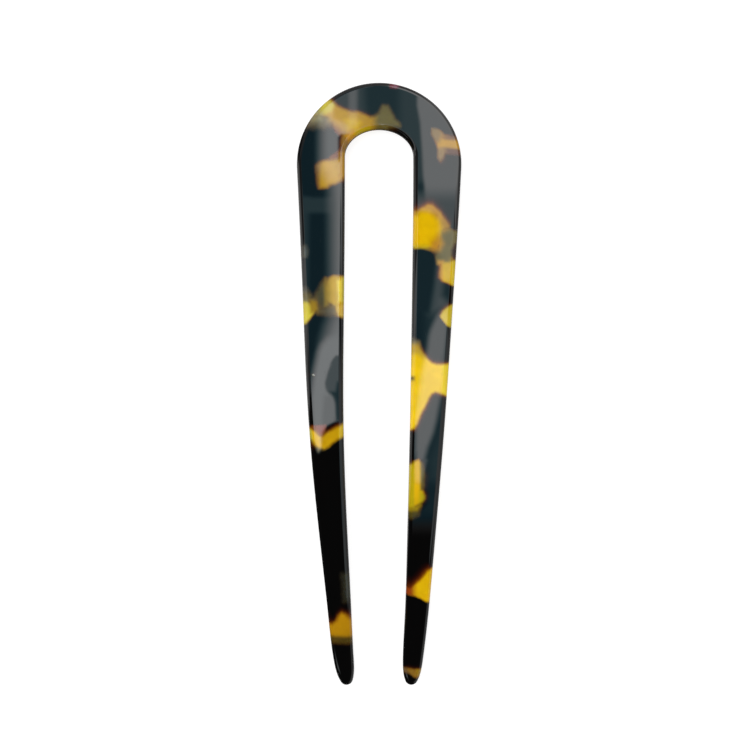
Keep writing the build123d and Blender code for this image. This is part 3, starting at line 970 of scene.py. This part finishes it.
def level_square(name, width, material):
    """A square of mesh at height zero, marked as stage."""
    corners = np.array([(-1, -1, 0), (1, -1, 0), (1, 1, 0), (-1, 1, 0)]) * width / 2
    mesh = bpy.data.meshes.new(name)
    mesh.from_pydata((corners * MM).tolist(), [], [(0, 1, 2, 3)])
    mesh.materials.append(material)
    square = bpy.data.objects.new(name, mesh)
    bpy.context.scene.collection.objects.link(square)
    return square


table_white = bpy.data.materials.new("table_white")
table_tree = emptied_tree(table_white)
table_skin = joined(
    table_tree,
    "ShaderNodeBsdfPrincipled",
    {
        "Base Color": (0.35, 0.35, 0.35, 1),
        "Roughness": 0.9,
        "Specular IOR Level": 0.1,
        "Emission Color": (1, 1, 1, 1),
        "Emission Strength": 0.76,
    },
)
joined(table_tree, "ShaderNodeOutputMaterial", {"Surface": table_skin.outputs[0]})
table = level_square("table", table_width, table_white)

# The pin's edges mirror the room and not the table
table.visible_glossy = False
print("table", table_width, "mm wide")

# %% [markdown]
# The light. A gloss photograph needs two kinds: soft light that fills the amber,
# and shapes for the polish to mirror. The fill is a large lamp overhead that the
# polish doesn't mirror. The shapes are a white ceiling sheet, lit unevenly: a
# broad pale panel on the right with a crisp side, a soft strip on the left, cool
# dimness between them, and darkness towards the tips.
#
# The face is bent like part of a large cylinder, so each place on it mirrors one
# place on the ceiling. Working that relation out once lets the lit shapes be
# charted where they show on the pin, and the sheet carries them as a colour at each
# of its vertices.

# %% Where the pin's face looks on the ceiling
ceiling_height = 1000.0         # above the face


def mirrored_by(ceiling_x, ceiling_y):
    """The place on the upper face in which the camera sees this place on the ceiling.
    On a level face it divides the way out from the view's middle as the camera's
    height does the sum of both heights. The bend turns the ray by twice its tilt,
    which grows evenly with the distance from its crest."""
    reach = ceiling_height / camera_height
    bend = 2 * ceiling_height / upper_face.radius
    x = (ceiling_x + reach * view_x) / (1 + reach)
    y = (ceiling_y + reach * view_y + bend * upper_face.centre_y) / (1 + reach + bend)
    return x, y


# %% The chart of lit shapes
# Corners are millimetres on the pin's face. level is the light that the polish
# gives back there, and soft the half width of the shape's edge. Later shapes cover
# earlier ones.
Lit = namedtuple("Lit", "name level soft corners")
LIT_SHAPES = [
    Lit("floor", 0.0015, 2.0, box(-700, -700, 700, 20)),
    Lit("far_back", 0.036, 12, box(-700, 132, 700, 500)),
    Lit("far_back_end", 0.034, 25, box(-700, 205, 700, 500)),
    Lit("left_tip_glint", 0.06, 6.0, [(-190, -84), (-700, -128), (-700, -165), (-190, -94)]),
    Lit("left_gloom", 0.017, 0.5, [
        (-700, 140), (2, 140), (2, -7.6), (-8.7, -7.6), (-9.5, -8.0), (-10.7, -8.5), (-11.4, -9.2),
        (-11.8, -10.0), (-12.1, -11.0), (-12.2, -13.2), (-12.7, -14.0), (-13.3, -13.0),
        (-13.8, -11.0), (-14.1, -8.6), (-14.6, -4.0), (-700, -28),
    ]),
    Lit("right_gloom", 0.020, 3.5, [(0, 140), (700, 140), (700, -50), (13, -29.5), (0, -29.5)]),
    Lit("right_leg_gloom", 0.034, 2.0, [
        (10.6, 41), (700, 41), (700, -44), (13, -21), (10.6, -20), (10.4, -16), (13.0, -8),
        (10.0, 4),
    ]),
    Lit("right_middle_clear", 0.004, 0.9, [
        (4, 7.2), (9.0, 6.0), (9.6, 5.0), (8.8, 2.5), (8.3, 0), (7.6, -4), (7.2, -8), (4, -8),
    ]),
    Lit("right_foot_rim", 0.035, 1.5, [(80, -26), (700, -40), (700, -90), (60, -38)]),
    Lit("crown_gloom", 0.032, 2.5, box(-5, 44, 700, 140)),
    Lit("crown_dusk", 0.046, 1.5, [(4.5, 140), (700, 140), (700, 43), (8.2, 43), (4.5, 50)]),
    Lit("left_window", 0.034, 0.9, [
        (-700, 60), (-300, 48), (-20, 41), (-15.0, 39.7), (-15.0, 14.0), (-15.6, 9.0), (-20, 8.5),
        (-700, -8),
    ]),
    Lit("left_wall", 0.062, 1.5, [(-700, 52), (-60, 38), (-30, 36), (-30, 16), (-700, -2)]),
    Lit("left_wall_top", 0.008, 2.0, [(-700, 60), (-700, 27.5), (-90, 28.5), (-90, 60)]),
    Lit("left_window_top", 0.036, 0.7, box(-17.5, 36.4, -10.0, 39.8)),
    Lit("crown_tail", 0.052, 1.2, [(-7, 90), (-4.2, 90), (-3.0, 60), (-3.0, 57), (-7, 57)]),
    Lit("left_strip_high", 0.175, 2.0, [
        (-12.2, 90), (-6.0, 90), (-6.0, 57), (-6.6, 43.6), (-10.6, 43.6), (-12.4, 46.5),
        (-12.5, 54),
    ]),
    Lit("left_strip_side", 0.012, 0.35, [
        (-8.9, 53.4), (-8.4, 54.3), (-6.4, 54.3), (-5, 50), (-6.6, 47.9), (-8.8, 47.8),
    ]),
    Lit("crown_band", 0.068, 0.8, [(-10.0, 90), (-6.3, 90), (-6.3, 56.2), (-8.0, 57), (-10.0, 58)]),
    Lit("crown_line", 0.115, 0.8, box(-6.4, 56.4, -4.9, 90)),
    Lit("left_strip", 0.168, 2.5, [
        (-10.2, 45), (-4.0, 45), (-2, 38), (2, 38), (2, 8), (-11.6, 8), (-11.2, 10), (-10.6, 12),
        (-9.9, 14), (-9.6, 20), (-9.7, 28), (-9.8, 38),
    ]),
    Lit("left_sweep", 0.185, 1.1, [
        (-9.0, 10.0), (-7, 10.0), (-7, -10), (-9.6, -8.6), (-10.9, -9.0), (-11.6, -10.0),
        (-11.9, -13.2), (-12.8, -14.0), (-13.6, -11), (-14.3, -8), (-14.5, -3), (-14.1, 0.6),
        (-13.6, 3.3), (-12.9, 6.7), (-12.0, 8.4), (-10.8, 9.6),
    ]),
    Lit("left_sweep_low", 0.150, 0.6, [
        (-11.6, -2.4), (-7, -2.4), (-7, -10), (-9.6, -8.4), (-11.0, -8.8), (-11.8, -10.0),
        (-12.0, -7.0),
    ]),
    Lit("left_black", 0.0015, 0.35, [
        (-7, -7.8), (-8.9, -7.6), (-9.6, -8.0), (-10.8, -8.6), (-11.4, -9.2), (-11.9, -10.1),
        (-12.15, -11.2), (-12.2, -13.4), (-12.8, -15.0), (-13.4, -13.4), (-14.0, -11.4),
        (-14.3, -9.0), (-14.9, -4.0), (-17, -1.0), (-700, -20), (-700, -90), (-7, -40),
    ]),
    Lit("left_bay", 0.075, 0.3, [
        (-9.1, 6.0), (-9.8, 5.2), (-10.2, 4.4), (-10.4, 3.6), (-10.8, 2.6), (-11.1, 1.4),
        (-11.4, 0.3), (-11.3, -0.7), (-11.0, -1.6), (-10.5, -2.1), (-9.9, -2.5), (-9.5, -3.2),
        (-9.25, -4.2), (-9.1, -7.6), (-7, -7.6), (-7, 6.0),
    ]),
    Lit("left_bay_foot", 0.030, 0.5, [
        (-10.4, -1.6), (-9.2, -1.6), (-8.8, 0.5), (-7, 0.5), (-7, -7.6), (-9.0, -7.6), (-9.1, -4.2),
        (-9.5, -2.7),
    ]),
    Lit("right_panel", 0.136, 0.5, [
        (300, 700), (60, 300), (20, 130), (8.6, 70), (8.4, 61), (9.0, 57), (9.35, 50), (9.5, 45),
        (9.8, 42), (9.9, 38), (9.9, 30), (700, 30), (700, 700),
    ]),
    Lit("right_panel_end", 0.036, 60, [(300, 40), (300, -200), (900, -200), (900, 90)]),
    Lit("right_panel_corner", 0.044, 70, box(430, 170, 900, 700)),
    Lit("right_low_dark", 0.002, 3.0, [(40, -43), (700, -61), (700, -300), (40, -300)]),
    Lit("right_panel_dip", 0.078, 2.4, [
        (6, 40.6), (700, 40.6), (700, 15.5), (11.0, 15.5), (11.8, 20), (12.2, 27), (6, 27),
    ]),
    Lit("right_wall_dark", 0.010, 2.0, [(60, 37.5), (700, 19), (700, 14), (60, 32.5)]),
    Lit("right_wall_black", 0.003, 1.5, [(40, 28.4), (700, 9), (700, -4), (40, 15.0)]),
    Lit("right_gap", 0.028, 1.1, [
        (13.5, 21.8), (17.6, 21.8), (17.6, 17.2), (14.6, 17.0), (13.2, 18.6),
    ]),
    Lit("right_panel_side", 0.022, 0.8, [
        (6.0, 37.0), (9.8, 37.0), (12.4, 36.2), (13.0, 34), (13.1, 30), (12.3, 27), (11.6, 21),
        (10.6, 15), (6, 15),
    ]),
    Lit("right_black", 0.0, 0.6, [
        (6.0, 36.6), (9.8, 36.6), (12.0, 36.0), (12.7, 34), (12.3, 31), (11.0, 29.0), (6, 29.0),
    ]),
    Lit("right_streak_clear", 0.004, 0.8, [
        (4, -15), (7.9, -15), (8.1, -20), (8.8, -21.5), (10.2, -23), (10.0, -25.4), (8.4, -27.4),
        (4, -28),
    ]),
    Lit("right_streak", 0.128, 0.8, [
        (13.0, 15.2), (12.3, 14.4), (11.6, 13.0), (10.9, 11.4), (10.5, 10), (10.2, 7.6), (9.8, 5.4),
        (9.2, 2.5), (8.8, 0), (8.3, -4), (7.7, -8), (7.6, -14), (8.0, -20), (8.5, -20.5),
        (9.3, -18), (9.7, -15.4), (10.2, -13.4), (11.4, -10.2), (12.0, -7.8), (12.5, -5),
        (13.0, -2.4), (13.3, 0), (13.6, 4), (14.0, 7.6), (14.4, 11), (14.4, 15.0),
    ]),
    Lit("right_streak_tail", 0.085, 0.7, [
        (7.9, -16.0), (10.0, -16.0), (9.5, -18), (8.5, -20.8), (8.0, -20.8),
    ]),
]
print(len(LIT_SHAPES), "lit shapes")

# %% The ceiling's light
polish_share = 0.0375           # of the light from above, at a refractive index of 1.48

# A dim ceiling looks cool beside lamps: red and green as a share of blue, by level
tint_levels = 0.005, 0.012, 0.015, 0.034, 0.05, 0.08, 0.13
tint_red = 1.0, 0.4, 0.22, 0.44, 0.60, 0.80, 0.93
tint_green = 1.0, 0.8, 0.72, 0.86, 0.91, 0.95, 0.98
far_x, far_y, far_soft = 45.0, 110.0, 20.0      # where the ceiling's greyer outskirts begin
far_paling = 0.8                                # how much greyer they are


def ceiling_light(x, y):
    """Colour and strength of the ceiling for each place mirrored on the face: the
    shapes' levels laid over each other in turn, times the tint for that level,
    which pales far out, over the share that the polish gives back."""
    level = np.zeros(x.shape)
    for shape in LIT_SHAPES:
        share = eased(inside_polygon(x, y, shape.corners) / shape.soft)
        level += (shape.level - level) * share
    tint = [np.interp(level, tint_levels, share) for share in (tint_red, tint_green)]
    tint = np.stack([*tint, np.ones(level.shape)], axis=-1)
    beyond = np.maximum(np.abs(x) - far_x, np.abs(y) - far_y)
    paling = far_paling * eased(beyond / far_soft)[..., None]
    tint += (1 - tint) * paling
    return tint * level[..., None] / polish_share


# %% The ceiling's mesh
def spaced(fine_half, fine_step, far_half, far_step):
    """Grid lines close together in the middle and wide apart outside."""
    fine = np.arange(-fine_half, fine_half + fine_step, fine_step)
    far = np.arange(fine_half + far_step, far_half + far_step, far_step)
    return np.concatenate([-far[::-1], fine, far])


lines_x = spaced(fine_half=64, fine_step=0.7, far_half=1700, far_step=40)
lines_y = spaced(fine_half=560, fine_step=1.6, far_half=1700, far_step=40)
ceiling_x, ceiling_y = (grid.ravel() for grid in np.meshgrid(lines_x, lines_y))
ceiling_z = np.full(ceiling_x.shape, pin_high[2] + ceiling_height)
index = np.arange(len(ceiling_x)).reshape(len(lines_y), len(lines_x))
squares = np.stack([index[:-1, :-1], index[1:, :-1], index[1:, 1:], index[:-1, 1:]], axis=-1)
ceiling_mesh = bpy.data.meshes.new("ceiling")
ceiling_mesh.from_pydata(
    (np.stack([ceiling_x, ceiling_y, ceiling_z], axis=1) * MM).tolist(),
    [],
    squares.reshape(-1, 4).tolist(),
)
light_colours = ceiling_light(*mirrored_by(ceiling_x, ceiling_y))
light_data = ceiling_mesh.attributes.new("light", "FLOAT_VECTOR", "POINT")
light_data.data.foreach_set("vector", light_colours.ravel())
print(len(ceiling_mesh.polygons), "squares of ceiling")

# %% The ceiling's glow
ceiling_glow = bpy.data.materials.new("ceiling_glow")
glow_tree = emptied_tree(ceiling_glow)
light_node = joined(glow_tree, "ShaderNodeAttribute", {}, attribute_name="light")
emission = joined(glow_tree, "ShaderNodeEmission", {"Color": light_node.outputs["Vector"]})
joined(glow_tree, "ShaderNodeOutputMaterial", {"Surface": emission.outputs[0]})
ceiling_glow.cycles.emission_sampling = "NONE"
ceiling_mesh.materials.append(ceiling_glow)
ceiling = bpy.data.objects.new("ceiling", ceiling_mesh)

# Only the polish sees the ceiling
ceiling.visible_camera = False
ceiling.visible_diffuse = False
ceiling.visible_transmission = False
ceiling.visible_shadow = False
bpy.context.scene.collection.objects.link(ceiling)

# %% The fill lamp
fill_width = 1600.0
fill_power = 19                             # watts
fill_place = np.array([-250.0, 200.0, 950.0])
fill_tilt = -12                             # degrees, back towards the pin

fill_data = bpy.data.lights.new("fill", "AREA")
fill_data.shape = "SQUARE"
fill_data.size = fill_width * MM
fill_data.energy = fill_power
fill = bpy.data.objects.new("fill", fill_data)
fill.location = fill_place * MM
fill.rotation_euler = 0, math.radians(fill_tilt), 0
fill.visible_glossy = False
fill.visible_camera = False
bpy.context.scene.collection.objects.link(fill)
print("fill lamp", fill_power, "W")

# %% [markdown]
# The room. The rounded edges face sideways, past the ceiling sheet, so they mirror
# what stands round the table. A plain white room would draw a white line along
# every edge. This one has a window on the left, grey walls on the right and beyond
# the crown, and is dark elsewhere. It is worked out from the direction in which an
# edge looks: a soft step towards the right, and one towards the crown.

# %% The room
window_level = 1.2
right_level = 0.6
far_level = 0.6
dark_level = 0.05

room = bpy.data.worlds.new("room")
room_tree = emptied_tree(room)
direction = joined(room_tree, "ShaderNodeTexCoord", {}).outputs["Generated"]
rightwards, crownwards, _ = joined(room_tree, "ShaderNodeSeparateXYZ", {0: direction}).outputs
left_wall = smooth_step(room_tree, rightwards, low=-0.55, high=-0.35, to_low=1.0, to_high=0.0)
near_side = smooth_step(room_tree, crownwards, low=-0.10, high=-0.08)
far_side = smooth_step(room_tree, crownwards, low=0.18, high=0.23, to_low=1.0, to_high=0.0)
window = maths(room_tree, "MULTIPLY", left_wall, maths(room_tree, "MULTIPLY", near_side, far_side))
window = maths(room_tree, "MULTIPLY", window, window_level)
right_wall = smooth_step(room_tree, rightwards, 0.3, 0.6, 0.0, right_level)
far_wall = smooth_step(room_tree, crownwards, 0.4, 0.7, dark_level, far_level)
room_level = maths(room_tree, "ADD", window, maths(room_tree, "ADD", right_wall, far_wall))
background = joined(
    room_tree, "ShaderNodeBackground", {"Color": (1, 1, 1, 1), "Strength": room_level}
)
joined(room_tree, "ShaderNodeOutputWorld", {"Surface": background.outputs[0]})
bpy.context.scene.world = room
print(len(room_tree.nodes), "nodes in the room")
